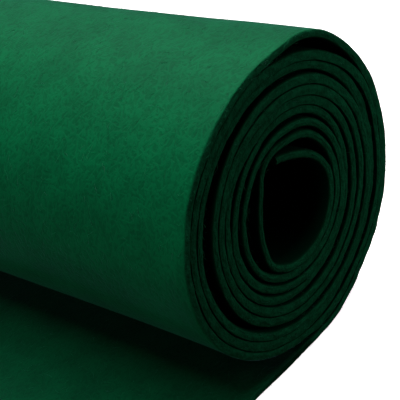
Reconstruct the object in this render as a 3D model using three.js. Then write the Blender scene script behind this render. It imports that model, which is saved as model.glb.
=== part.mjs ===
// A roll of thick green craft felt: one cut length, wound without a core, its last turn left lying flat.
// Millimetres, +Z up. X runs along the roll, the loose end lies towards -Y, and the origin is on the surface
// that the felt rests on, under the middle of the whole piece.
import * as THREE from "three";

// Driving dimensions of the felt
const WIDTH = 300; // the strip's width, which is the roll's length
const FELT = 2.8; // thickness as wound, a nominal 3 mm felt pressed a little
const LOOSE_END = 150; // the flat end, from under the roll's middle to its cut edge

// Driving dimensions of the wound form
const AXIS_HEIGHT = 54.6; // the middle of the winding above the surface
const FULL_TURNS = 9; // whole turns before the last one, which ends under the roll
const STEP_DEGREES = 7.5; // one straight piece of the outline on a round stretch
const FLAT_STEP = 15; // one piece of the flat end

// The winding is laid out like a clock face seen from +X, with twelve o'clock on top
const HOURS = 12;
const FIRST_HOUR = 11; // where the felt's inner end lies

// Radius of the felt's inner face at each clock hour. A row is one turn, counted from the middle and
// starting at eleven o'clock; the turns between two rows are spread evenly. What a row leaves free
// beyond the thickness of the turns inside it is the slack of the winding.
const TURNS = [
  { turn: 1, from11to4: [17.3, 14.0, 13.3, 15.4, 18.7, 20.2], from5to10: [20.5, 20.0, 20.2, 18.6, 16.5, 16.7] },
  { turn: 2, from11to4: [20.4, 19.3, 19.9, 20.5, 21.9, 23.3], from5to10: [23.6, 23.3, 23.7, 24.8, 25.0, 24.5] },
  { turn: 4, from11to4: [27.9, 27.5, 27.5, 27.7, 28.2, 29.2], from5to10: [29.6, 30.0, 30.8, 32.0, 32.4, 32.0] },
  { turn: 6, from11to4: [33.8, 33.5, 33.6, 34.7, 35.7, 36.6], from5to10: [37.2, 37.6, 37.7, 37.9, 38.3, 37.9] },
  { turn: 7, from11to4: [36.8, 36.5, 37.1, 38.5, 40.3, 41.9], from5to10: [42.1, 41.8, 42.1, 43.2, 44.4, 43.7] },
  { turn: 8, from11to4: [41.9, 41.3, 41.2, 42.7, 44.2, 45.2], from5to10: [45.1, 44.8, 45.3, 46.3, 47.4, 46.7] },
  { turn: 9, from11to4: [44.9, 44.3, 44.2, 46.2, 47.9, 48.5], from5to10: [48.2, 48.0, 48.8, 49.6, 50.4, 49.7] },
  { turn: 10, from11to4: [48.0, 48.3, 50.6, 50.4, 51.0, 51.5], from5to10: [51.4, 51.8] },
];

// Soft corners in single turns, where the felt bulges past the even curve between two hours
const CORNERS = [
  { turn: 1, degrees: 226, spread: 20, bulge: 0.9 }, // lower left of the hollow
  { turn: 9, degrees: 170, spread: 30, bulge: 0.4 }, // under the roll, pressed out by its weight
  { turn: 10, degrees: 15, spread: 20, bulge: 0.9 }, // on top of the roll, over the slack
  { turn: 10, degrees: 170, spread: 30, bulge: 0.7 }, // under the roll, flat where it meets the surface
];

const DEGREES_AN_HOUR = 360 / HOURS;
const START_DEGREES = (FIRST_HOUR - HOURS) * DEGREES_AN_HOUR;
const END_DEGREES = 180 + FULL_TURNS * 360;

// The radius at each hour of the whole winding, one after another from the inner end
function hourlyRadii() {
  const radii = [];
  const last = TURNS[TURNS.length - 1].turn;
  for (let turn = 1; turn <= last; turn++) {
    const above = TURNS.find((row) => row.turn >= turn);
    const below = TURNS.findLast((row) => row.turn <= turn);
    const share = above === below ? 0 : (turn - below.turn) / (above.turn - below.turn);
    const low = [...below.from11to4, ...below.from5to10];
    const high = [...above.from11to4, ...above.from5to10];
    low.forEach((radius, hour) => radii.push(THREE.MathUtils.lerp(radius, high[hour], share)));
  }
  return radii;
}

// A smooth hump: its full height at the middle, falling to nothing at the spread on each side
function hump(distance, spread, height) {
  return distance < spread ? (height * (1 + Math.cos((Math.PI * distance) / spread))) / 2 : 0;
}

// The inner face's radius after that many degrees, clockwise from twelve o'clock of the first turn
function radiusAt(degrees, radii) {
  const hours = (degrees - START_DEGREES) / DEGREES_AN_HOUR;
  const hour = Math.min(Math.floor(hours), radii.length - 2);
  const [p0, p1, p2, p3] = [-1, 0, 1, 2].map((k) => radii[THREE.MathUtils.clamp(hour + k, 0, radii.length - 1)]);
  const t = hours - hour;
  const even = p1 + (t * (p2 - p0 + t * (2 * p0 - 5 * p1 + 4 * p2 - p3 + t * (3 * p1 - p0 - 3 * p2 + p3)))) / 2;
  return CORNERS.reduce(
    (radius, corner) =>
      radius + hump(Math.abs(degrees - corner.degrees - 360 * (corner.turn - 1)), corner.spread, corner.bulge),
    even
  );
}

// The felt's middle line as points (Y, Z) about the roll's axis: the winding, then the flat end
function middleLine() {
  const radii = hourlyRadii();
  const points = [];
  const lowest = FELT / 2 - AXIS_HEIGHT;
  for (let degrees = START_DEGREES; degrees < END_DEGREES; degrees += STEP_DEGREES) {
    const radius = radiusAt(degrees, radii) + FELT / 2;
    const angle = THREE.MathUtils.degToRad(degrees);
    const height = Math.max(radius * Math.cos(angle), lowest);
    points.push(new THREE.Vector2(radius * Math.sin(angle), height));
  }
  for (let y = 0; y > -LOOSE_END; y -= FLAT_STEP) {
    points.push(new THREE.Vector2(y, lowest));
  }
  points.push(new THREE.Vector2(-LOOSE_END, lowest));
  return points;
}

// One face of the felt: the middle line moved sideways by that much, square to itself
function faceOf(line, sideways) {
  return line.map((point, k) => {
    const before = line[Math.max(k - 1, 0)];
    const after = line[Math.min(k + 1, line.length - 1)];
    const along = after.clone().sub(before).normalize();
    return new THREE.Vector2(point.x - along.y * sideways, point.y + along.x * sideways);
  });
}

// The strip's whole cross-section, carried straight along X
function feltSolid() {
  const line = middleLine();
  const outline = [...faceOf(line, FELT / 2), ...faceOf(line, -FELT / 2).reverse()];
  const solid = new THREE.ExtrudeGeometry(new THREE.Shape(outline), { depth: WIDTH, bevelEnabled: false });
  const towardsX = new THREE.Matrix4().makeBasis(
    new THREE.Vector3(0, 1, 0),
    new THREE.Vector3(0, 0, 1),
    new THREE.Vector3(1, 0, 0)
  );
  solid.applyMatrix4(towardsX);
  solid.computeBoundingBox();
  const middle = solid.boundingBox.getCenter(new THREE.Vector3());
  solid.translate(-middle.x, -middle.y, -solid.boundingBox.min.z);
  return solid;
}

// Needled wool-and-viscose felt: matt, with no shine
const greenFelt = new THREE.MeshStandardMaterial({ color: 0x0b5a38, roughness: 0.97, metalness: 0 });

const felt = new THREE.Mesh(feltSolid(), greenFelt);
felt.name = "felt";

const group = new THREE.Group();
group.add(felt);

export default group;
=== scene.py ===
"""A roll of thick green craft felt with its loose end lying in front of it, and a studio stage.

Metres, +Z up. X runs along the roll, the loose end lies towards -Y. A place on the felt is given by
arc, the way along the strip from its inner end, and across, the way across the strip from its middle.
"""

import math
from functools import partial

import bpy
import numpy as np
from mathutils import Matrix, Vector


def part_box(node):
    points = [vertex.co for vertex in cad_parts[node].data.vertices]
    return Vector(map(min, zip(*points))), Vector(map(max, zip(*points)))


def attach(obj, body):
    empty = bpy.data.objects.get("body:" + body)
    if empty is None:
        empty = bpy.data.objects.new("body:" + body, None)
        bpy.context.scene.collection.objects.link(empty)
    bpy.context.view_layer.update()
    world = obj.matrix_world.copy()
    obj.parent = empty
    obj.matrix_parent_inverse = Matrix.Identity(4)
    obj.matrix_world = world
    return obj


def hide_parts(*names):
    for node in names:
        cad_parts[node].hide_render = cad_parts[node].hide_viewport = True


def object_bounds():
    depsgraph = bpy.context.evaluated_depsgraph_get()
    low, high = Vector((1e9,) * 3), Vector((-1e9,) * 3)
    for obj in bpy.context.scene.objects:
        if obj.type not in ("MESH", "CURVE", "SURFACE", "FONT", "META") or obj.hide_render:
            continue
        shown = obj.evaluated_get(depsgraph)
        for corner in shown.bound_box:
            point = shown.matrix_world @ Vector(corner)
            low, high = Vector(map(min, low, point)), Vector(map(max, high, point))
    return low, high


bl_info = {
    "name": "Roll of Felt",
    "version": (1, 0, 0),
    "blender": (4, 5, 0),
    "location": "View3D > Sidebar > Felt",
    "description": "Makes a wound length of needled felt, its loose fibres and a stage to see it on",
    "category": "Object",
}

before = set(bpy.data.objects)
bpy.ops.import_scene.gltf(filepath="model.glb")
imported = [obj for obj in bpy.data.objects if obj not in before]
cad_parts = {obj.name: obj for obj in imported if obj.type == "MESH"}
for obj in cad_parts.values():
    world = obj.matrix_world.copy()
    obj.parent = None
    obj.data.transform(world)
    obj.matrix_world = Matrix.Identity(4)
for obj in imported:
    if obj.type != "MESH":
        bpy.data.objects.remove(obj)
CAD_LOW, CAD_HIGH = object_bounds()
FELT_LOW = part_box("felt")[0]

MM = 0.001

# Radius of the felt's inner face in millimetres, turn by turn from the middle, as in the CAD part: at each
# clock hour from eleven to ten, seen from +X with twelve on top. Turns between two rows are spread evenly.
TURNS = {
    1: (17.3, 14.0, 13.3, 15.4, 18.7, 20.2, 20.5, 20.0, 20.2, 18.6, 16.5, 16.7),
    2: (20.4, 19.3, 19.9, 20.5, 21.9, 23.3, 23.6, 23.3, 23.7, 24.8, 25.0, 24.5),
    4: (27.9, 27.5, 27.5, 27.7, 28.2, 29.2, 29.6, 30.0, 30.8, 32.0, 32.4, 32.0),
    6: (33.8, 33.5, 33.6, 34.7, 35.7, 36.6, 37.2, 37.6, 37.7, 37.9, 38.3, 37.9),
    7: (36.8, 36.5, 37.1, 38.5, 40.3, 41.9, 42.1, 41.8, 42.1, 43.2, 44.4, 43.7),
    8: (41.9, 41.3, 41.2, 42.7, 44.2, 45.2, 45.1, 44.8, 45.3, 46.3, 47.4, 46.7),
    9: (44.9, 44.3, 44.2, 46.2, 47.9, 48.5, 48.2, 48.0, 48.8, 49.6, 50.4, 49.7),
    10: (48.0, 48.3, 50.6, 50.4, 51.0, 51.5, 51.4, 51.8),
}

# Soft corners in single turns: where, how far they spread either way, and the bulge in millimetres. The
# last five are the soft felt's own, where it stands further out or in than the stiff CAD solid.
CORNERS = (
    {"turn": 1, "degrees": 226, "spread": 20, "bulge": 0.9},
    {"turn": 9, "degrees": 170, "spread": 30, "bulge": 0.4},
    {"turn": 10, "degrees": 15, "spread": 20, "bulge": 0.9},
    {"turn": 10, "degrees": 170, "spread": 30, "bulge": 0.7},
    {"turn": 9, "degrees": 120, "spread": 60, "bulge": 0.4},
    {"turn": 9, "degrees": 62, "spread": 34, "bulge": 0.6},
    {"turn": 9, "degrees": 227, "spread": 30, "bulge": -0.15},
    {"turn": 10, "degrees": 20, "spread": 26, "bulge": 0.1},
    {"turn": 10, "degrees": 46, "spread": 18, "bulge": -0.3},
)

# Where a turn was wound further in or out along the roll, in millimetres towards +X
SLIPS = (
    {"turn": 1, "degrees": 40, "spread": 160, "shift": -0.6},
    {"turn": 2, "degrees": 300, "spread": 120, "shift": 0.5},
    {"turn": 4, "degrees": 100, "spread": 150, "shift": -0.5},
    {"turn": 6, "degrees": 60, "spread": 140, "shift": 0.6},
    {"turn": 8, "degrees": 92, "spread": 130, "shift": -1.3},
    {"turn": 9, "degrees": 330, "spread": 120, "shift": 0.5},
    {"turn": 10, "degrees": 260, "spread": 110, "shift": 1.5},
)

# Where a turn is thicker than elsewhere because it fills slack, in millimetres
PUFFS = (
    {"turn": 3, "degrees": 268, "spread": 60, "swell": 0.6},
    {"turn": 8, "degrees": 85, "spread": 55, "swell": 0.7},
    {"turn": 9, "degrees": 278, "spread": 50, "swell": 0.5},
)

# Where the outermost turn, which nothing holds, swells by itself: shares of the full swell
FREE_SWELLS = (
    {"turn": 9, "degrees": 222, "spread": 60, "share": 0.12},
    {"turn": 10, "degrees": 95, "spread": 75, "share": 1.6},
    {"turn": 10, "degrees": 127, "spread": 48, "share": 0.55},
)

# Where every turn is pulled tight, where the roll's rim is drawn round, and where its ends flare
TIGHT_FRONT = {"degrees": 285, "spread": 75}
DRAWN_RIM = {"degrees": 300, "spread": 100}
FLARED_FRONT = {"degrees": 238, "spread": 75}

HOURS = 12
DEGREES_AN_HOUR = 360 / HOURS
START_DEGREES = -DEGREES_AN_HOUR
SHORTER = 11  # degrees by which the soft inner end stops short of the CAD solid's
FULL_TURNS = 9
END_DEGREES = 180 + 360 * FULL_TURNS

# How the cuts and the winding stray: the length of each wave, its share of the whole, and its seed
SIDE_CUT = ((26 * MM, 1.0, 21), (9 * MM, 0.6, 22), (3.4 * MM, 0.5, 23))
END_CUT = ((21 * MM, 1.0, 25), (6 * MM, 1.0, 26))
SLOW_SLIP = ((70, 0.25 * MM, 3),)

# Grid of the strip: the step between rows, the rounding of its two ends, points across one face, and
# levels and corner angles down each cut edge
ROW_STEP = 1.25 * MM
END_CORNER = 0.5 * MM
FACE_POINTS = 17
NEAR_EDGE = {"level": (0, 0, 0, 1 / 3, 2 / 3, 1, 1, 1), "corner": (30, 60, 90, 90, 90, 90, 60, 30)}
FAR_EDGE = {"level": (1, 1, 0, 0), "corner": (60, 90, 90, 60)}
CUT_FROM = 60  # corner angle from which a face counts as cut edge

FIBRE_POINTS = 5  # along each loose fibre

# Settings that several shader nodes share
FLAT_NOISE = {"noise_dimensions": "2D"}
EASED = {"interpolation_type": "SMOOTHSTEP"}
BLENDED = {"data_type": "RGBA"}
SCALED = {"operation": "SCALE"}
TIMES = {"operation": "MULTIPLY"}


def linear(hex_text):
    """The linear colour of an sRGB hex value, which is how Blender's sockets take it."""
    channels = (int(hex_text[k : k + 2], 16) / 255 for k in (0, 2, 4))
    return tuple(c / 12.92 if c <= 0.04045 else ((c + 0.055) / 1.055) ** 2.4 for c in channels)


def colour(name, hex_text, description):
    """A colour property, opaque, with its default from an sRGB hex value."""
    default = (*linear(hex_text), 1.0)
    return bpy.props.FloatVectorProperty(
        name=name, description=description, subtype="COLOR", size=4, min=0, max=1, default=default
    )


def count(name, default, description):
    """A whole number property."""
    return bpy.props.IntProperty(name=name, description=description, min=0, default=default)


def number(name, default, description, **kind):
    """A number property, with the unit, subtype or range of its kind."""
    return bpy.props.FloatProperty(name=name, description=description, default=default, **kind)


# Number properties in metres, in radians and from 0 to 1
length = partial(number, unit="LENGTH", precision=5)
angle = partial(number, subtype="ANGLE")
fraction = partial(number, subtype="FACTOR", min=0, max=1)


class FeltSizes(bpy.types.PropertyGroup):
    """Sizes of the strip of felt and of what its surface does."""

    width: length("Width", CAD_HIGH.x - CAD_LOW.x, "Width of the strip, which is the roll's length")
    thickness: length("Thickness", 2.8 * MM, "Thickness where the winding presses it")
    swell: length("Swell", 0.7 * MM, "How much thicker the felt is where nothing presses it")
    loose_end: length("Loose end", 150 * MM, "From under the roll's middle to the cut edge")
    axis_height: length("Axis height", 54.6 * MM, "The middle of the winding above the surface")
    tight_corner: length("Tight corner", 0.4 * MM, "Rounding of the cut edge where turns press together")
    free_corner: length("Free corner", 1.1 * MM, "Rounding of the cut edge where turns lie loose")
    rim_corner: length("Rim corner", 0.55 * MM, "Rounding of the cut edge round the outside of the roll")
    drawn_corner: length("Drawn corner", 0.1 * MM, "How much rounder the rim is where it is pulled tight")
    crown: length("Crown", 0.2 * MM, "How far the middle of a cut edge stands out between its corners")
    edge_wander: length("Edge wander", 0.3 * MM, "How far the knife strayed from a straight cut")
    fray: length("Fray", 0.12 * MM, "How uneven the cut edge itself is")
    dents: length("Dents", 0.35 * MM, "How far the outer turns swell and sink")
    flare: length("Flare", 0.9 * MM, "How far the outer turns stand off at the ends, low on the front")
    ripple: length("Ripple", 0.5 * MM, "How far the loose end lifts off the surface in places")
    fibre_width: length("Fibre width", 0.08 * MM, "Width of a loose fibre, drawn coarser than a real one")
    face_fibres: count("Face fibres", 4200, "How many loose fibres lie on the felt's faces")
    edge_fibres: count("Edge fibres", 2600, "How many loose fibres stand out of the cut edges")


class FeltColours(bpy.types.PropertyGroup):
    """Colours of the dyed fibres, and how much of each shows."""

    face: colour("Face", "005a31", "The pressed face of the felt")
    pale: colour("Pale fibre", "007040", "Fibres that lie on top of the face and catch the light")
    pit: colour("Pit", "004a28", "Needle pits and the shade between fibres")
    cut: colour("Cut edge", "0b5233", "The cut edge, where only the ends of fibres show")
    # Painted shade: faces between the turns are given this darker colour in place of the shade that falls
    # there
    depth: colour("Between turns", "002617", "Faces between the turns, unfaded and in deep shade")
    gleam: colour("Gleam", "80fff0", "The broad dull gleam of pressed fibres, tinted by their dye")
    sheen: colour("Sheen", "b4cdff", "The soft light that fuzz gives at a grazing view")
    pale_share: fraction("Pale share", 0.36, "How much of the pale shows where a fibre lies on top")
    pit_share: fraction("Pit share", 0.42, "How much of a pit's darkness shows")
    # Painted shade: how much darker the reverse is drawn, standing in for the roll's shadow on the loose end
    reverse_shade_share: fraction("Reverse", 0.52, "Brightness of the reverse, beside the outer face's")
    shade_share: fraction("Shade", 0.3, "Brightness of the loose end's corners in the shade of the roll")


class StageSettings(bpy.types.PropertyGroup):
    """The camera and the light."""

    lens: number("Lens", 94.24, "Focal length on a 36 mm sensor", unit="CAMERA")
    distance: length("Distance", 320 * MM, "From the camera to the point it aims at")
    azimuth: angle("Azimuth", math.radians(44.86), "Round the object from its front")
    elevation: angle("Elevation", math.radians(28.31), "Above the horizon")
    roll: angle("Roll", math.radians(-11.09), "The picture's turn about its middle")
    surroundings: number("Surroundings", 0.01, "Brightness of the room that the felt sees")
    floor: colour("Floor", "f4f4f2", "The pale board under the felt")
    floor_glow: number("Floor glow", 1.0, "Light of the floor's own, which falls on nothing")


# The camera's aim: a point on the felt near the photographed end of the roll
AIM = Vector((133.1, 23.0, 64.7)) * MM

# Studio lamps: the way each lies from its aim, in degrees, how far and how wide it is, in metres, and its
# watts. Each aims at its own place along the roll, in its middle or nearly.
LAMPS = {
    "overhead_box": {"azimuth": -135, "elevation": 63, "far": 1.0, "aim_x": 0.12, "side": 0.55, "watts": 7.7},
    "top_box": {"azimuth": 0, "elevation": 78, "far": 1.0, "aim_x": 0.05, "side": 0.55, "watts": 4.7},
    "low_front": {"azimuth": 0, "elevation": 2, "far": 1.0, "aim_x": 0.05, "side": 0.55, "watts": 2.2},
    "end_card": {"azimuth": 129, "elevation": 3, "far": 0.3, "aim_x": 0.15, "side": 0.2, "watts": 0.22},
}
LAMP_AIM_Y = 45 * MM
LAMP_AIM_Z = 50 * MM

FLOOR_REACH = 6.0
WHITE = (1.0, 1.0, 1.0, 1.0)


def hourly_radii():
    """The inner face's radius in metres at each clock hour of the whole winding, from the inner end."""
    radii = []
    for turn in range(1, max(TURNS) + 1):
        above = min(t for t in TURNS if t >= turn)
        below = max(t for t in TURNS if t <= turn)
        share = 0 if above == below else (turn - below) / (above - below)
        radii += [low + share * (high - low) for low, high in zip(TURNS[below], TURNS[above])]
    return np.array(radii) * MM


def hump(distance, spread):
    """A smooth hump of height one: (1 + cos(pi distance / spread)) / 2 inside the spread, else nothing."""
    inside = np.clip(np.abs(distance) / spread, 0, 1)
    return (1 + np.cos(math.pi * inside)) / 2


def hump_in_turns(degrees, place):
    """The hump of a place that lies at the same angle of every turn."""
    return hump(degrees % 360 - place["degrees"], place["spread"])


def with_humps(value, degrees, places, key, unit=MM):
    """A value plus the humps of one of the tables above, each at its own angle of its own turn.

    A hump is as high as its place's value under the key, in the unit.
    """
    for place in places:
        middle = place["degrees"] + 360 * (place["turn"] - 1)
        value = value + place[key] * unit * hump(degrees - middle, place["spread"])
    return value


def smooth_step(value, low, high):
    """Nothing below low, one above high, and 3t^2 - 2t^3 between them."""
    t = np.clip((value - low) / (high - low), 0, 1)
    return t * t * (3 - 2 * t)


def rolling(u, v, seed, cells=64):
    """Smooth random heights from -1 to 1 on a lattice of unit cells that repeats after that many cells.

    Between the corners of a cell the heights are blended by the quintic 6t^5 - 15t^4 + 10t^3 each way.
    """
    lattice = np.random.default_rng(seed).uniform(-1, 1, (cells, cells))
    u, v = np.broadcast_arrays(u, v)
    i, j = np.floor(u).astype(int), np.floor(v).astype(int)
    s, t = u - i, v - j
    s = s**3 * (s * (6 * s - 15) + 10)
    t = t**3 * (t * (6 * t - 15) + 10)
    i0, i1, j0, j1 = i % cells, (i + 1) % cells, j % cells, (j + 1) % cells
    low = lattice[i0, j0] * (1 - s) + lattice[i1, j0] * s
    high = lattice[i0, j1] * (1 - s) + lattice[i1, j1] * s
    return low * (1 - t) + high * t


def wander(way, waves):
    """A smooth random line along a way: the sum of its waves, each of its own length, share and seed.

    A wave is the rolling heights along the middle of a row of cells as long as the wave.
    """
    return sum(share * rolling(way / long, 0.5, seed) for long, share, seed in waves)


def winding_radius(degrees):
    """The inner face's radius at each angle, clockwise from twelve o'clock of the first turn.

    A Catmull-Rom curve through the hourly radii, with the soft corners' humps added.
    """
    radii = hourly_radii()
    hours = (degrees - START_DEGREES) / DEGREES_AN_HOUR
    hour = np.clip(np.floor(hours).astype(int), 0, len(radii) - 2)
    p0, p1, p2, p3 = (radii[np.clip(hour + k, 0, len(radii) - 1)] for k in (-1, 0, 1, 2))
    t = hours - hour
    radius = p1 + t * (p2 - p0 + t * (2 * p0 - 5 * p1 + 4 * p2 - p3 + t * (3 * p1 - p0 - 3 * p2 + p3))) / 2
    return with_humps(radius, degrees, CORNERS, "bulge")


class Winding:
    """The strip in the YZ plane, and what the felt does at any place on it.

    Its line, half the pressed thickness outside the inner face, is the winding, then the flat loose end.
    It is worked out once, finely, and read back by the way along it, so that every grid laid on the felt
    follows the same cloth.
    """

    FINE_DEGREES = 0.5
    LEAST_GAP = 0.06 * MM
    PRESSED_AWAY = 0.4 * MM  # how much thinner than the pressed thickness the felt gets at most
    INNER_SWELL = 0.4  # the inner turns' share of the swell
    SMOOTHING = 12  # fine steps either way over which the thickness is evened out
    WIDE_OPEN = 9 * MM  # the way to the next turn, where there is none

    # Ranges over which something sets in: a radius, a height, a slack, or a way from under the roll
    SWELLING_RADIUS = (29 * MM, 37 * MM)
    OUTER_RADIUS = (30 * MM, 48 * MM)
    OFF_THE_SURFACE = (2 * MM, 14 * MM)
    LOOSE_SLACK = (0.1 * MM, 0.7 * MM)
    OUTERMOST_DEGREES = (END_DEGREES - 370, END_DEGREES - 350)
    RIM_OF_LOOSE_END = (0, 20 * MM)
    OUT_FROM_ROLL = (2 * MM, 20 * MM)
    SHADE_DEEPENS = (0, 5 * MM)
    SHADE_FADES = (14 * MM, 40 * MM)
    RIPPLES = (20 * MM, 90 * MM)

    FLARE_REACH = 14 * MM

    def __init__(self, sizes):
        self.sizes = sizes
        self.half = sizes.thickness / 2
        lowest = self.half - sizes.axis_height
        wound = np.arange(START_DEGREES + SHORTER, END_DEGREES + self.FINE_DEGREES / 2, self.FINE_DEGREES)
        radius = winding_radius(wound) + self.half
        turned = np.radians(wound)
        flat = np.arange(MM, sizes.loose_end + MM / 2, MM)
        y = np.concatenate([radius * np.sin(turned), -flat])
        z = np.concatenate([np.maximum(radius * np.cos(turned), lowest), np.full(len(flat), lowest)])
        self.radius = np.hypot(y, z)
        axis_y = FELT_LOW.y + sizes.loose_end
        self.y, self.z = y + axis_y, z + sizes.axis_height
        self.arc = np.concatenate([[0], np.cumsum(np.hypot(np.diff(y), np.diff(z)))])
        self.degrees = np.concatenate([wound, END_DEGREES + 0 * flat])
        self.beyond = np.concatenate([0 * wound, flat])
        self.total = self.arc[-1]
        along_y, along_z = np.gradient(self.y, self.arc), np.gradient(self.z, self.arc)
        size = np.hypot(along_y, along_z)
        self.out_y, self.out_z = -along_z / size, along_y / size
        self.outermost = smooth_step(self.degrees, *self.OUTERMOST_DEGREES)
        self.thickness, self.loose_outside, self.loose_inside = self.fill_gaps(len(wound))

    def fill_gaps(self, wound):
        """The felt's thickness at each place, and how loose it lies there, from 0 to 1, outside and inside.

        The room for the felt is the way to the next turn. It takes that room less the least gap, but
        grows no further than its swell allows, and no thinner than the pressed thickness less what can
        be pressed away. The inner turns swell less, and on the tight front of the roll only the turns
        with a puff do. The outermost turn, which has no turn over it, swells mostly behind.
        """
        sizes = self.sizes
        turn = round(360 / self.FINE_DEGREES)
        pitch = np.full(len(self.radius), np.inf)
        pitch[: wound - turn] = self.radius[turn:wound] - self.radius[: wound - turn]
        outward = smooth_step(self.radius, *self.SWELLING_RADIUS)
        swell = sizes.swell * (self.INNER_SWELL + (1 - self.INNER_SWELL) * outward)
        swell = swell * (1 - hump_in_turns(self.degrees, TIGHT_FRONT))
        swell = with_humps(swell, self.degrees, PUFFS, "swell")
        full = np.minimum(pitch - self.LEAST_GAP, sizes.thickness + swell)
        full = np.maximum(full, sizes.thickness - self.PRESSED_AWAY)
        free = with_humps(0, self.degrees, FREE_SWELLS, "share", 1)
        thickness = np.where(np.isinf(pitch), sizes.thickness + sizes.swell * free, full)
        window = np.hanning(2 * self.SMOOTHING + 1)
        padded = np.pad(thickness, self.SMOOTHING, mode="edge")
        smooth = np.convolve(padded, window / window.sum(), mode="valid")
        thickness = np.minimum(smooth, pitch - self.LEAST_GAP)
        outside = smooth_step(np.minimum(pitch, self.WIDE_OPEN) - thickness, *self.LOOSE_SLACK)
        inside = np.ones(len(pitch))
        inside[turn:wound] = outside[: wound - turn]
        return thickness, outside, inside

    def read(self, table, arc):
        """A fine table's value at each place along the strip."""
        return np.interp(arc, self.arc, table)

    def arc_at(self, degrees):
        """The way along the strip to an angle of the winding, from twelve o'clock of the first turn."""
        return self.arc[np.searchsorted(self.degrees, degrees)]

    def corners(self, arc):
        """Rounding of the cut edge at the outer and the inner face: small where turns press together.

        The rim of the roll is drawn rounder on the front and the top, where the outermost turn is tight.
        """
        sizes = self.sizes
        grow = sizes.free_corner - sizes.tight_corner
        outer = sizes.tight_corner + grow * self.loose_outside
        drawn = hump_in_turns(self.degrees, DRAWN_RIM) * (self.beyond == 0)
        rim = sizes.rim_corner + sizes.drawn_corner * drawn
        outer = outer + (rim - outer) * self.outermost
        inner = sizes.tight_corner + grow * self.loose_inside
        inner = inner + (sizes.rim_corner - inner) * smooth_step(self.beyond, *self.RIM_OF_LOOSE_END)
        return self.read(outer, arc), self.read(inner, arc)

    def hidden(self, arc, level):
        """How much of a face lies inside the winding, from 0 to 1: level is 0 outside and 1 inside. Faces
        mostly inside are drawn in painted shade.
        """
        on_roll = 1 - smooth_step(self.read(self.beyond, arc), *self.OUT_FROM_ROLL)
        return (1 - level) * (1 - self.read(self.outermost, arc)) + level * on_roll

    def shade(self, arc, across):
        """How deep the corners of the loose end beside the roll lie in its shade, from 0 to 1.

        The shade reaches 30 mm in from each side edge and is full over the last 2 mm.
        """
        beyond = self.read(self.beyond, arc)
        beside_roll = smooth_step(beyond, *self.SHADE_DEEPENS) * (1 - smooth_step(beyond, *self.SHADE_FADES))
        side = self.sizes.width / 2
        return beside_roll * smooth_step(np.abs(across), side - 30 * MM, side - 2 * MM)

    def slip(self, arc):
        """How far along X the strip was wound at each place: the humps of the slips on a slow wander.

        On the loose end a millimetre counts as a degree.
        """
        degrees = self.read(self.degrees, arc) + self.read(self.beyond, arc) / MM
        return with_humps(wander(degrees, SLOW_SLIP), degrees, SLIPS, "shift")

    def sway(self, arc, across):
        """How far both faces move together: outward off the even winding, and up off the surface.

        Dents 30 degrees by 46 mm with lesser ones of 10 degrees by 30 mm, which fade towards the middle
        of the roll, a flare at both ends of the outer turns, low on the front, and ripples of the loose
        end, 40 by 55 mm, that never press it into the surface.
        """
        sizes = self.sizes
        degrees = self.read(self.degrees, arc)
        beyond = self.read(self.beyond, arc)
        outer = smooth_step(self.read(self.radius, arc), *self.OUTER_RADIUS)
        outer = outer * smooth_step(self.read(self.z, arc), *self.OFF_THE_SURFACE)
        broad = rolling(degrees / 30, across / (46 * MM), seed=11, cells=12)
        small = rolling(degrees / 10, across / (30 * MM), seed=12, cells=36)
        dents = sizes.dents * (broad + 0.35 * small)
        from_end = sizes.width / 2 - np.abs(across)
        flare = sizes.flare * np.exp(-from_end / self.FLARE_REACH) * hump_in_turns(degrees, FLARED_FRONT)
        ripple = sizes.ripple * smooth_step(beyond, *self.RIPPLES)
        ripple = ripple * (1 + rolling(beyond / (40 * MM), across / (55 * MM), seed=13))
        return (dents + flare) * outer, ripple

    def place(self, arc, across, out):
        """Points on the felt: out is the way outward from the inner face.

        The line's point, plus (out - half + sway) times the unit normal, which points out of the roll
        and down on the loose end, plus the ripple straight up and the slip along X.
        """
        arc, across, out = np.broadcast_arrays(arc, across, out)
        outward, lift = self.sway(arc, across)
        away = out - self.half + outward
        x = across + self.slip(arc)
        y = self.read(self.y, arc) + away * self.read(self.out_y, arc)
        z = self.read(self.z, arc) + away * self.read(self.out_z, arc) + lift
        return np.stack([x, y, z], axis=-1)


def section_columns():
    """The points once round the strip's section, as share across, level and corner angle in degrees.

    The outer face from -X to +X, the near cut edge, the inner face back, and the far cut edge. The steps
    across a face are closer near its edges, as (1 - |t|)^1.8. Level is 0 at the outer face, 1 at the
    inner one. The corner angle is 0 on a face and 90 on the cut.
    """
    t = np.linspace(-1, 1, FACE_POINTS)
    spread = np.sign(t) * (1 - (1 - np.abs(t)) ** 1.8)
    near, far = len(NEAR_EDGE["level"]), len(FAR_EDGE["level"])
    share = np.concatenate([spread, np.ones(near), spread[::-1], -np.ones(far)])
    level = np.concatenate([0 * t, NEAR_EDGE["level"], 1 + 0 * t, FAR_EDGE["level"]])
    corner = np.concatenate([0 * t, NEAR_EDGE["corner"], 0 * t, FAR_EDGE["corner"]])
    return share, level, corner


def section_points(sizes, thickness, outer_corner, inner_corner):
    """Across and out of each point of the section, for each row's thickness and corner roundings.

    With R the rounding blended by level: across = share (width / 2 - R) + its sign times R sin(corner),
    and between the corners the crown times 4 level (1 - level) more. Out is the outer face less
    R (1 - cos(corner)), blended by level with the inner face plus as much.
    """
    share, level, corner = section_columns()
    rise, reach = 1 - np.cos(np.radians(corner)), np.sin(np.radians(corner))
    rounding = (1 - level) * outer_corner[:, None] + level * inner_corner[:, None]
    beyond_face = rounding * reach + sizes.crown * 4 * level * (1 - level)
    across = share * (sizes.width / 2 - sizes.crown - rounding) + np.sign(share) * beyond_face
    top = thickness[:, None] - outer_corner[:, None] * rise
    bottom = inner_corner[:, None] * rise
    return across, (1 - level) * top + level * bottom


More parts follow.
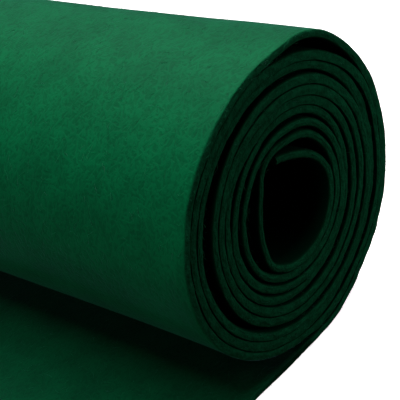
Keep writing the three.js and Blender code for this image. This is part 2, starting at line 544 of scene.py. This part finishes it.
def strip_grid(winding, sizes):
    """The whole strip: rows along it, one round of the section in each.

    At both ends the strip's own cut edge is rounded: over the end corner R the way along is
    R (1 - cos a) and the half thickness loses R (1 - sin a). The side edges stray and fray across the
    strip, and the knife that cut the two ends strayed along it.
    """
    turn = np.radians([0, 30, 60, 90])
    rim = END_CORNER * (1 - np.cos(turn))
    middle = np.arange(END_CORNER + ROW_STEP, winding.total - END_CORNER - ROW_STEP / 2, ROW_STEP)
    arc = np.concatenate([rim, middle, winding.total - rim[::-1]])
    rim_thin = 1 - END_CORNER / winding.half * (1 - np.sin(turn))
    thin = np.concatenate([rim_thin, np.ones(len(middle)), rim_thin[::-1]])[:, None]

    outer_corner, inner_corner = winding.corners(arc)
    thickness = winding.read(winding.thickness, arc)
    across, out = section_points(sizes, thickness, outer_corner, inner_corner)
    out = thickness[:, None] / 2 + (out - thickness[:, None] / 2) * thin

    # A stray cut moves the outer 14 mm of the faces with it, and fraying moves only the cut edge
    near_edge = np.sign(across) * smooth_step(np.abs(across), sizes.width / 2 - 14 * MM, sizes.width / 2)
    level, corner = section_columns()[1:]
    frayed = rolling(arc[:, None] / (1.9 * MM), 1.7 * np.arange(len(corner)), seed=24)
    across = across + sizes.edge_wander * wander(arc, SIDE_CUT)[:, None] * near_edge
    across = across + sizes.fray * frayed * np.sin(np.radians(corner)) * np.sign(across)

    # The stray of the two end cuts dies away over 8 mm
    from_end = np.minimum(arc, winding.total - arc)[:, None]
    knife = sizes.edge_wander * wander(across, END_CUT)
    arc_here = arc[:, None] + knife * np.exp(-from_end / (8 * MM))
    points = winding.place(np.clip(arc_here, 0, winding.total), across, out)

    step = np.hypot(np.diff(across[0], append=across[0, 0]), np.diff(out[0], append=out[0, 0]))
    round_way = np.concatenate([[0], np.cumsum(step)])
    uv = np.stack(np.broadcast_arrays(arc[:, None], round_way[None, :]), axis=-1)
    cut = np.broadcast_to(smooth_step(corner, 30, 90), points.shape[:2])
    cut = np.maximum(cut, 1 - smooth_step(from_end, 0.1 * MM, END_CORNER))
    hidden = winding.hidden(arc[:, None], level)
    reverse = np.broadcast_to(level, points.shape[:2])
    shade = winding.shade(arc[:, None], across)
    return points, uv, {"cut_edge": cut, "reverse": reverse, "shade": shade, "hidden": hidden}


def end_cap(ring, faces_start):
    """The faces that close an end of the strip: quads between its faces, and one face at each cut edge."""
    near = FACE_POINTS + len(NEAR_EDGE["level"])
    outer, below = ring[:FACE_POINTS], ring[near : near + FACE_POINTS][::-1]
    quads = np.stack([outer[:-1], below[:-1], below[1:], outer[1:]], axis=-1)
    near_side = ring[FACE_POINTS - 1 : near + 1][::-1]
    far_side = np.append(ring[near + FACE_POINTS - 1 :], ring[0])[::-1]
    parts = [quads, near_side[None], far_side[None]]
    return parts if faces_start else [part[:, ::-1] for part in parts]


def put_in_scene(name, data):
    """A new object in the scene, at the origin."""
    item = bpy.data.objects.new(name, data)
    bpy.context.scene.collection.objects.link(item)
    return item


def mesh_object(name, points, faces, corner_uvs, vertex_values, face_materials):
    """An object from points, arrays of faces with as many sides each, corner UVs, point values and slots."""
    mesh = bpy.data.meshes.new(name)
    sides = np.concatenate([np.full(len(part), part.shape[1]) for part in faces])
    corners = np.concatenate([part.ravel() for part in faces])
    starts = np.concatenate([[0], np.cumsum(sides)[:-1]])
    mesh.vertices.add(len(points))
    mesh.vertices.foreach_set("co", points.astype(np.float32).ravel())
    mesh.loops.add(len(corners))
    mesh.loops.foreach_set("vertex_index", corners.astype(np.int32))
    mesh.polygons.add(len(sides))
    mesh.polygons.foreach_set("loop_start", starts.astype(np.int32))
    mesh.polygons.foreach_set("material_index", face_materials.astype(np.int32))
    layer = mesh.uv_layers.new(name="felt")
    layer.uv.foreach_set("vector", corner_uvs.astype(np.float32).ravel())
    for key, values in vertex_values.items():
        attribute = mesh.attributes.new(key, "FLOAT", "POINT")
        attribute.data.foreach_set("value", values.astype(np.float32).ravel())
    mesh.update(calc_edges=True)
    mesh.validate()
    mesh.shade_smooth()
    return put_in_scene(name, mesh)


def felt_strip(winding, sizes):
    """The strip as one closed mesh: open faces in slot 0, cut edges in 1, faces between turns, in painted
    shade, in 2.
    """
    points, uv, values = strip_grid(winding, sizes)
    rows, columns = points.shape[:2]
    index = np.arange(rows * columns).reshape(rows, columns)
    right = np.roll(index, -1, axis=1)
    quads = np.stack([index[:-1], right[:-1], right[1:], index[1:]], axis=-1).reshape(-1, 4)
    left_uv, right_uv = uv[:, :-1], uv[:, 1:]
    quad_uvs = np.stack([left_uv[:-1], right_uv[:-1], right_uv[1:], left_uv[1:]], axis=-2).reshape(-1, 2)

    corner = section_columns()[2]
    on_cut = np.minimum(corner, np.roll(corner, -1)) >= CUT_FROM
    # Faces inside the winding take slot 2, whose darker colour is painted shade
    between = values.pop("hidden")[:-1] > 0.5
    slots = [np.where(on_cut, 1, np.where(between, 2, 0)).ravel()]
    faces, corner_uvs = [quads], [quad_uvs]
    flat_uv = left_uv.reshape(-1, 2)
    for ring, faces_start in ((index[0], True), (index[-1], False)):
        for part in end_cap(ring, faces_start):
            faces.append(part)
            corner_uvs.append(flat_uv[part.ravel()])
            slots.append(np.ones(len(part)))
    uvs, face_slots = np.concatenate(corner_uvs), np.concatenate(slots)
    return mesh_object("felt_strip", points.reshape(-1, 3), faces, uvs, values, face_slots)


def fibre_tubes(name, routes, width):
    """Thin three-sided closed tubes along routes, an array of fibres, points along each, and X, Y, Z.

    At each point the tube's radius is width / 2 times 0.55 + 0.45 sin(pi s), with s from 0 to 1 along the
    fibre. Its corners lie at thirds of a turn about the route, measured from a steady sideways direction.
    """
    fibres, steps = routes.shape[:2]
    along = np.gradient(routes, axis=1)
    along /= np.linalg.norm(along, axis=2, keepdims=True)
    steady = np.where(np.abs(along[..., :1]) > 0.8, (0.0, 0.0, 1.0), (1.0, 0.0, 0.0))
    side = np.cross(along, steady)
    side /= np.linalg.norm(side, axis=2, keepdims=True)
    above = np.cross(along, side)
    radius = width / 2 * (0.55 + 0.45 * np.sin(math.pi * np.linspace(0, 1, steps)))[None, :, None]
    thirds = np.radians([0, 120, 240])
    corners = [routes + radius * (math.cos(a) * side + math.sin(a) * above) for a in thirds]
    points = np.stack(corners, axis=2)
    index = np.arange(fibres * steps * 3).reshape(fibres, steps, 3)
    beside = np.roll(index, -1, axis=2)
    quads = np.stack([index[:, :-1], beside[:, :-1], beside[:, 1:], index[:, 1:]], axis=-1).reshape(-1, 4)
    ends = np.concatenate([index[:, 0, ::-1], index[:, -1]])
    uv = np.zeros((quads.size + ends.size, 2))
    slots = np.zeros(len(quads) + len(ends))
    return mesh_object(name, points.reshape(-1, 3), [quads, ends], uv, {}, slots)


def wandering(start, heading, curl, long):
    """Routes on the felt's surface: each fibre's arc and across, from its start on a bent line.

    The heading turns evenly by the fibre's curl, and the way along is its length times the running sum
    of the heading's cosine, and of its sine across.
    """
    s = np.linspace(0, 1, FIBRE_POINTS)
    bent = heading[:, None] + curl[:, None] * s
    step = long[:, None] / (FIBRE_POINTS - 1)
    arc = start[0][:, None] + np.cumsum(np.cos(bent) * step, axis=1)
    across = start[1][:, None] + np.cumsum(np.sin(bent) * step, axis=1)
    return s, arc, across


def face_routes(winding, sizes, number, rng):
    """Routes of the fibres that lie on the faces that show: the outermost turn and the loose end.

    Seven in ten lie on the roll. A fibre is 1.5 to 4 mm long and lies mostly along the strip. Half of them
    are tied down at both ends, rising between them as 4 s (1 - s), and half have one end free, rising as
    s^2. All are sunk a little into the face, which on the loose end is its upper one, the reverse.
    """
    last = winding.arc_at(END_DEGREES)
    outermost = winding.arc_at(END_DEGREES - 360)
    on_roll = rng.random(number) < 0.7
    room = np.where(on_roll, last - outermost, winding.total - last)
    start_arc = np.where(on_roll, outermost, last) + room * rng.random(number)
    start_across = sizes.width * 0.495 * rng.uniform(-1, 1, number)
    heading = rng.normal(0, 0.6, number) + math.pi * rng.integers(0, 2, number)
    s, arc, across = wandering(
        (start_arc, start_across), heading, rng.normal(0, 0.9, number), MM * rng.uniform(1.5, 4, number)
    )
    arc = np.clip(arc, outermost, winding.total - 0.3 * MM)
    across = np.clip(across, -0.497 * sizes.width, 0.497 * sizes.width)
    tied = rng.random((number, 1)) < 0.5
    lift = MM * rng.uniform(0.1, 0.45, (number, 1)) * np.where(tied, 4 * s * (1 - s), s**2)
    sunk = 0.03 * MM
    height = lift - sunk
    outer_face = winding.read(winding.thickness, arc) + height
    return winding.place(arc, across, np.where(on_roll[:, None], outer_face, -height))


def edge_routes(winding, sizes, number, rng):
    """Routes of the fibres that stand out of the cut edges at both ends of the roll.

    A fibre starts just inside the cut at a random level of the thickness and reaches up to a millimetre
    out of it, as s^0.8, while it drifts along the strip and through the thickness.
    """
    s = np.linspace(0, 1, FIBRE_POINTS)
    start = winding.total * rng.random((number, 1))
    end = np.where(rng.random((number, 1)) < 0.6, 1, -1)
    reach = MM * rng.uniform(0.3, 1.1, (number, 1)) ** 1.3
    arc = start + reach * rng.normal(0, 1.2, (number, 1)) * s
    arc = np.clip(arc, MM, winding.total - MM)
    across = end * (sizes.width / 2 - 0.15 * MM + reach * s**0.8)
    level = rng.uniform(0.08, 0.92, (number, 1)) + 0.1 * rng.normal(0, 1, (number, 1)) * s
    return winding.place(arc, across, level * winding.read(winding.thickness, arc))


def add_node(tree, kind, settings=None, inputs=None, output=0):
    """Adds one shader node with its settings and its inputs, each a value or another node's output.

    It gives back the new node's first output, or the one that is asked for.
    """
    node = tree.nodes.new(kind)
    for name, value in (settings or {}).items():
        setattr(node, name, value)
    for socket, value in (inputs or {}).items():
        if isinstance(value, bpy.types.NodeSocket):
            tree.links.new(value, node.inputs[socket])
        else:
            node.inputs[socket].default_value = value
    return node.outputs[output] if len(node.outputs) else None


def new_material(name):
    """An empty node material and its tree."""
    material = bpy.data.materials.new(name)
    material.use_nodes = True
    material.node_tree.nodes.clear()
    return material, material.node_tree


def end_with_shader(tree, inputs):
    """Ends a material's tree with its shader, which gets these inputs, and its output."""
    shader = add_node(tree, "ShaderNodeBsdfPrincipled", {}, inputs)
    add_node(tree, "ShaderNodeOutputMaterial", {}, {"Surface": shader})


def shading(tree, colours):
    """How bright the felt is beside the roll: 1 outside its shade, down to the shade's share in it."""
    shade = add_node(tree, "ShaderNodeAttribute", {"attribute_name": "shade"}, {}, "Fac")
    darker = {"Value": shade, "To Min": 1.0, "To Max": colours.shade_share}
    return add_node(tree, "ShaderNodeMapRange", EASED, darker)


def needled_felt(colours):
    """Needle-punched felt of dyed wool and viscose fibres, pressed flat.

    The fibres lie every way but mostly along the strip, with needle pits between them. The reverse,
    which the loose end shows, is painted darker: painted shade in place of the roll's shadow on it. The
    face has a broad dull gleam, and a soft sheen where it is seen at a grazing angle. Fibres are 0.03 mm
    thick in truth and are drawn as flecks about 0.7 mm wide, as fine as a picture of the whole roll can show.
    """
    material, tree = new_material("needled_wool_viscose_felt")
    place = add_node(tree, "ShaderNodeUVMap", {"uv_map": "felt"})
    in_mm = add_node(tree, "ShaderNodeVectorMath", SCALED, {0: place, "Scale": 1 / MM})

    # Fibres curl a little, so the pattern's own space is bent by about half a millimetre over a centimetre
    coarse = {"Vector": in_mm, "Scale": 0.1, "Detail": 1.0}
    bend = add_node(tree, "ShaderNodeTexNoise", FLAT_NOISE, coarse, "Color")
    centred = add_node(tree, "ShaderNodeVectorMath", {"operation": "SUBTRACT"}, {0: bend, 1: (0.5, 0.5, 0.5)})
    by_so_much = {0: centred, 1: (2.4, 2.4, 0.0), 2: in_mm}
    curled = add_node(tree, "ShaderNodeVectorMath", {"operation": "MULTIPLY_ADD"}, by_so_much)

    # Lays of fibre: the angle to the strip's length, and the length and width of a fleck in millimetres
    lays = ((0.0, 3.0, 0.75), (27.0, 2.6, 0.7), (-34.0, 2.8, 0.7), (74.0, 2.0, 0.7))
    strands = None
    for k, (degrees, long, wide) in enumerate(lays):
        own_place = {"Location": (17.0 * k, 5.0 * k, 0.0), "Rotation": (0.0, 0.0, math.radians(degrees))}
        turned = add_node(tree, "ShaderNodeMapping", {}, {"Vector": curled, **own_place})
        drawn = add_node(tree, "ShaderNodeVectorMath", TIMES, {0: turned, 1: (1 / long, 1 / wide, 1.0)})
        fleck = {"Vector": drawn, "Scale": 0.7, "Detail": 0.0}
        grain = add_node(tree, "ShaderNodeTexNoise", FLAT_NOISE, fleck)
        peaks = {"Value": grain, "From Min": 0.57, "From Max": 0.7}
        strand = add_node(tree, "ShaderNodeMapRange", EASED, peaks)
        if strands is None:
            strands = strand
        else:
            strands = add_node(tree, "ShaderNodeMath", {"operation": "MAXIMUM"}, {0: strands, 1: strand})

    # Needle pits and the gaps between fibres, a millimetre or so apart
    fine = {"Vector": curled, "Scale": 0.75, "Detail": 1.5}
    specks = add_node(tree, "ShaderNodeTexNoise", FLAT_NOISE, fine)
    pits = add_node(tree, "ShaderNodeMapRange", EASED, {"Value": specks, "From Min": 0.44, "From Max": 0.28})

    # Cloudiness of the needled web: patches of a centimetre or two where the fibres lie thicker
    broad = {"Vector": in_mm, "Scale": 0.07, "Detail": 3.0}
    clouds = add_node(tree, "ShaderNodeTexNoise", FLAT_NOISE, broad)
    tenth_each_way = {"Value": clouds, "From Min": 0.3, "From Max": 0.7, "To Min": 0.9, "To Max": 1.1}
    cloudy = add_node(tree, "ShaderNodeMapRange", EASED, tenth_each_way)

    on_top = add_node(tree, "ShaderNodeMath", TIMES, {0: strands, 1: colours.pale_share})
    strewn = {0: on_top, 6: colours.face, 7: colours.pale}
    face = add_node(tree, "ShaderNodeMix", BLENDED, strewn, 2)
    pitted = add_node(tree, "ShaderNodeMath", TIMES, {0: pits, 1: colours.pit_share})
    face = add_node(tree, "ShaderNodeMix", BLENDED, {0: pitted, 6: face, 7: colours.pit}, 2)
    face = add_node(tree, "ShaderNodeVectorMath", SCALED, {0: face, "Scale": cloudy})

    # Painted shade: the reverse, which the loose end shows, is darkened to its shade share
    reverse = add_node(tree, "ShaderNodeAttribute", {"attribute_name": "reverse"}, {}, "Fac")
    by_face = {"Value": reverse, "To Min": 1.0, "To Max": colours.reverse_shade_share}
    reverse_painted_shade = add_node(tree, "ShaderNodeMapRange", EASED, by_face)
    face = add_node(tree, "ShaderNodeVectorMath", SCALED, {0: face, "Scale": reverse_painted_shade})
    cut = add_node(tree, "ShaderNodeAttribute", {"attribute_name": "cut_edge"}, {}, "Fac")
    base = add_node(tree, "ShaderNodeMix", BLENDED, {0: cut, 6: face, 7: colours.cut}, 2)
    base = add_node(tree, "ShaderNodeVectorMath", SCALED, {0: base, "Scale": shading(tree, colours)})

    # Relief in millimetres: fibres stand up and pits go down
    relief = add_node(tree, "ShaderNodeMath", TIMES, {0: strands, 1: 0.14})
    relief = add_node(tree, "ShaderNodeMath", {"operation": "MULTIPLY_ADD"}, {0: specks, 1: 0.34, 2: relief})
    bumped = add_node(tree, "ShaderNodeBump", {}, {"Strength": 0.35, "Distance": 1.0 * MM, "Height": relief})
    end_with_shader(
        tree,
        {
            "Base Color": base,
            "Roughness": 0.7,
            "IOR": 1.45,
            "Specular IOR Level": 0.17,
            "Specular Tint": colours.gleam,
            "Sheen Weight": 0.42,
            "Sheen Roughness": 0.28,
            "Sheen Tint": colours.sheen,
            "Normal": bumped,
        },
    )
    return material


def felt_in_painted_shade(colours):
    """The same felt between the turns: pressed smooth, without fuzz or sheen, and darkened with painted deep
    shade.
    """
    material, tree = new_material("felt_between_turns_painted_shade")
    cut = add_node(tree, "ShaderNodeAttribute", {"attribute_name": "cut_edge"}, {}, "Fac")
    # Painted shade: the darker colour between the turns, blending to the cut colour at the edges
    at_the_cut = {0: cut, 6: colours.depth, 7: colours.cut}
    base = add_node(tree, "ShaderNodeMix", BLENDED, at_the_cut, 2)
    end_with_shader(tree, {"Base Color": base, "Roughness": 1.0, "IOR": 1.45, "Specular IOR Level": 0.02})
    return material


def cut_felt(colours):
    """The knife-cut edge of the felt: fibre ends only, so it is darker and rougher than the face.

    It drinks the light and has no sheen. Tufts a third to one millimetre across stand a little out of
    it, in layers along the strip where the web was laid up before needling.
    """
    material, tree = new_material("knife_cut_felt_edge")
    place = add_node(tree, "ShaderNodeTexCoord", {}, {}, "Object")
    in_mm = add_node(tree, "ShaderNodeVectorMath", SCALED, {0: place, "Scale": 1 / MM})
    tufts = add_node(tree, "ShaderNodeTexNoise", {}, {"Vector": in_mm, "Scale": 1.1, "Detail": 3.0})
    along = add_node(tree, "ShaderNodeUVMap", {"uv_map": "felt"})
    drawn = add_node(tree, "ShaderNodeVectorMath", TIMES, {0: along, 1: (0.25 / MM, 1.6 / MM, 1.0)})
    webs = add_node(tree, "ShaderNodeTexNoise", FLAT_NOISE, {"Vector": drawn, "Scale": 1.0, "Detail": 1.0})
    mixed = add_node(tree, "ShaderNodeMath", {"operation": "ADD"}, {0: tufts, 1: webs})
    tufted = {"Value": mixed, "From Min": 0.7, "From Max": 1.3, "To Min": 0.75, "To Max": 1.3}
    bright = add_node(tree, "ShaderNodeMapRange", EASED, tufted)
    bright = add_node(tree, "ShaderNodeMath", TIMES, {0: bright, 1: shading(tree, colours)})
    base = add_node(tree, "ShaderNodeVectorMath", SCALED, {0: colours.cut[:3], "Scale": bright})
    bumped = add_node(tree, "ShaderNodeBump", {}, {"Strength": 0.9, "Distance": 0.6 * MM, "Height": mixed})
    end_with_shader(
        tree,
        {"Base Color": base, "Roughness": 1.0, "IOR": 1.45, "Specular IOR Level": 0.05, "Normal": bumped},
    )
    return material


def dyed_fibre(colours):
    """Single dyed fibres that worked loose from the felt, coloured between its face and its pale fibres."""
    material, tree = new_material("loose_dyed_fibre")
    place = add_node(tree, "ShaderNodeTexCoord", {}, {}, "Object")
    change = add_node(tree, "ShaderNodeTexNoise", {}, {"Vector": place, "Scale": 0.35 / MM, "Detail": 0.0})
    paler = add_node(tree, "ShaderNodeMapRange", EASED, {"Value": change, "From Min": 0.35, "From Max": 0.65})
    between = {0: paler, 6: colours.face, 7: colours.pale}
    end_with_shader(
        tree,
        {
            "Base Color": add_node(tree, "ShaderNodeMix", BLENDED, between, 2),
            "Roughness": 0.8,
            "Specular IOR Level": 0.2,
            "Sheen Weight": 0.2,
            "Sheen Tint": colours.sheen,
        },
    )
    return material


def painted_board(settings):
    """A matt white painted board, lit from within so that it stays white beside the felt."""
    material, tree = new_material("matt_painted_board")
    end_with_shader(
        tree,
        {
            "Base Color": settings.floor,
            "Roughness": 0.9,
            "Specular IOR Level": 0.1,
            "Emission Color": WHITE,
            "Emission Strength": settings.floor_glow,
        },
    )
    return material


class FELT_OT_strip(bpy.types.Operator):
    """Makes the wound length of felt with its loose end."""

    bl_idname = "felt_roll.strip"
    bl_label = "Felt Strip"

    def execute(self, context):
        sizes, colours = context.scene.felt_sizes, context.scene.felt_colours
        winding = Winding(sizes)
        strip = felt_strip(winding, sizes)
        for material in (needled_felt(colours), cut_felt(colours), felt_in_painted_shade(colours)):
            strip.data.materials.append(material)
        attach(strip, "root")
        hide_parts("felt")
        return {"FINISHED"}


class FELT_OT_fibres(bpy.types.Operator):
    """Makes the loose fibres on the felt's faces and cut edges."""

    bl_idname = "felt_roll.fibres"
    bl_label = "Loose Fibres"

    def execute(self, context):
        sizes, colours = context.scene.felt_sizes, context.scene.felt_colours
        winding = Winding(sizes)
        rng = np.random.default_rng(41)
        on_faces = face_routes(winding, sizes, sizes.face_fibres, rng)
        on_edges = edge_routes(winding, sizes, sizes.edge_fibres, rng)
        routes = np.concatenate([on_faces, on_edges])
        routes[..., 2] = np.maximum(routes[..., 2], sizes.fibre_width)
        fibres = fibre_tubes("loose_fibres", routes, sizes.fibre_width)
        fibres.data.materials.append(dyed_fibre(colours))
        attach(fibres, "root")
        return {"FINISHED"}


def make_floor(settings):
    """The pale board that the felt lies on. It throws no light back at the felt."""
    mesh = bpy.data.meshes.new("floor")
    signs = ((-1, -1), (1, -1), (1, 1), (-1, 1))
    corners = [(FLOOR_REACH * x, FLOOR_REACH * y, 0) for x, y in signs]
    mesh.from_pydata(corners, [], [(0, 1, 2, 3)])
    mesh.materials.append(painted_board(settings))
    floor = put_in_scene("floor", mesh)
    floor.visible_diffuse = False
    floor.visible_glossy = False


def make_lamps():
    """The soft square lamps, each turned to its aim."""
    for name, lamp in LAMPS.items():
        light = bpy.data.lights.new(name, "AREA")
        light.shape = "SQUARE"
        light.size = lamp["side"]
        light.energy = lamp["watts"]
        aim = Vector((lamp["aim_x"], LAMP_AIM_Y, LAMP_AIM_Z))
        azimuth, elevation = math.radians(lamp["azimuth"]), math.radians(lamp["elevation"])
        put_in_scene(name, light).matrix_world = looking_at(aim, azimuth, elevation, 0.0, lamp["far"])


def make_world(scene, settings):
    """The room: white to the camera, and nearly dark to the felt."""
    world = bpy.data.worlds.new("studio")
    scene.world = world
    world.use_nodes = True
    tree = world.node_tree
    tree.nodes.clear()
    seen = add_node(tree, "ShaderNodeBackground", {}, {"Color": WHITE, "Strength": 1.0})
    lit = add_node(tree, "ShaderNodeBackground", {}, {"Color": WHITE, "Strength": settings.surroundings})
    ray = add_node(tree, "ShaderNodeLightPath", {}, {}, "Is Camera Ray")
    both = add_node(tree, "ShaderNodeMixShader", {}, {0: ray, 1: lit, 2: seen})
    add_node(tree, "ShaderNodeOutputWorld", {}, {"Surface": both})


def make_camera(scene, settings):
    """The camera, placed and turned so that the roll fills the picture as in the photograph."""
    camera = bpy.data.cameras.new("camera")
    camera.lens = settings.lens
    camera.sensor_width = 36.0
    camera.clip_start = 0.01
    camera.clip_end = 50.0
    scene.camera = put_in_scene("camera", camera)
    scene.camera.matrix_world = looking_at(
        AIM, settings.azimuth, settings.elevation, settings.roll, settings.distance
    )


class FELT_OT_stage(bpy.types.Operator):
    """Makes the pale floor, the soft lamps, the room and the camera."""

    bl_idname = "felt_roll.stage"
    bl_label = "Stage"

    def execute(self, context):
        scene, settings = context.scene, context.scene.felt_stage
        make_floor(settings)
        make_lamps()
        make_world(scene, settings)
        make_camera(scene, settings)
        scene.view_settings.view_transform = "Standard"
        return {"FINISHED"}


def looking_at(aim, azimuth, elevation, roll, distance):
    """The place of a camera or lamp that looks at a point from a distance; an azimuth of 0 is from -Y."""
    flat = math.cos(elevation)
    back = Vector((math.sin(azimuth) * flat, -math.cos(azimuth) * flat, math.sin(elevation)))
    level = Vector((math.cos(azimuth), math.sin(azimuth), 0.0))
    upright = back.cross(level)
    right = math.cos(roll) * level + math.sin(roll) * upright
    up = back.cross(right)
    turned = Matrix((right, up, back)).transposed().to_4x4()
    return Matrix.Translation(aim + distance * back) @ turned


class FELT_PT_sidebar(bpy.types.Panel):
    """The felt's sizes, colours and pieces in the 3D view's sidebar."""

    bl_idname = "FELT_PT_sidebar"
    bl_label = "Roll of Felt"
    bl_space_type = "VIEW_3D"
    bl_region_type = "UI"
    bl_category = "Felt"

    def draw(self, context):
        for group in (context.scene.felt_sizes, context.scene.felt_colours, context.scene.felt_stage):
            column = self.layout.column(align=True)
            for name in group.__annotations__:
                column.prop(group, name)
        for operator in OPERATORS:
            self.layout.operator(operator.bl_idname)


GROUPS = {"felt_sizes": FeltSizes, "felt_colours": FeltColours, "felt_stage": StageSettings}
OPERATORS = (FELT_OT_stage, FELT_OT_fibres, FELT_OT_strip)


def register():
    """Registers the settings, the operators and the panel."""
    for name, group in GROUPS.items():
        bpy.utils.register_class(group)
        setattr(bpy.types.Scene, name, bpy.props.PointerProperty(type=group))
    for item in (*OPERATORS, FELT_PT_sidebar):
        bpy.utils.register_class(item)


def unregister():
    """Takes them all away again."""
    for item in (FELT_PT_sidebar, *reversed(OPERATORS)):
        bpy.utils.unregister_class(item)
    for name, group in GROUPS.items():
        delattr(bpy.types.Scene, name)
        bpy.utils.unregister_class(group)


def main():
    """Makes the stage and both pieces."""
    register()
    bpy.ops.felt_roll.stage()
    bpy.ops.felt_roll.fibres()
    bpy.ops.felt_roll.strip()


if __name__ == "__main__":
    main()
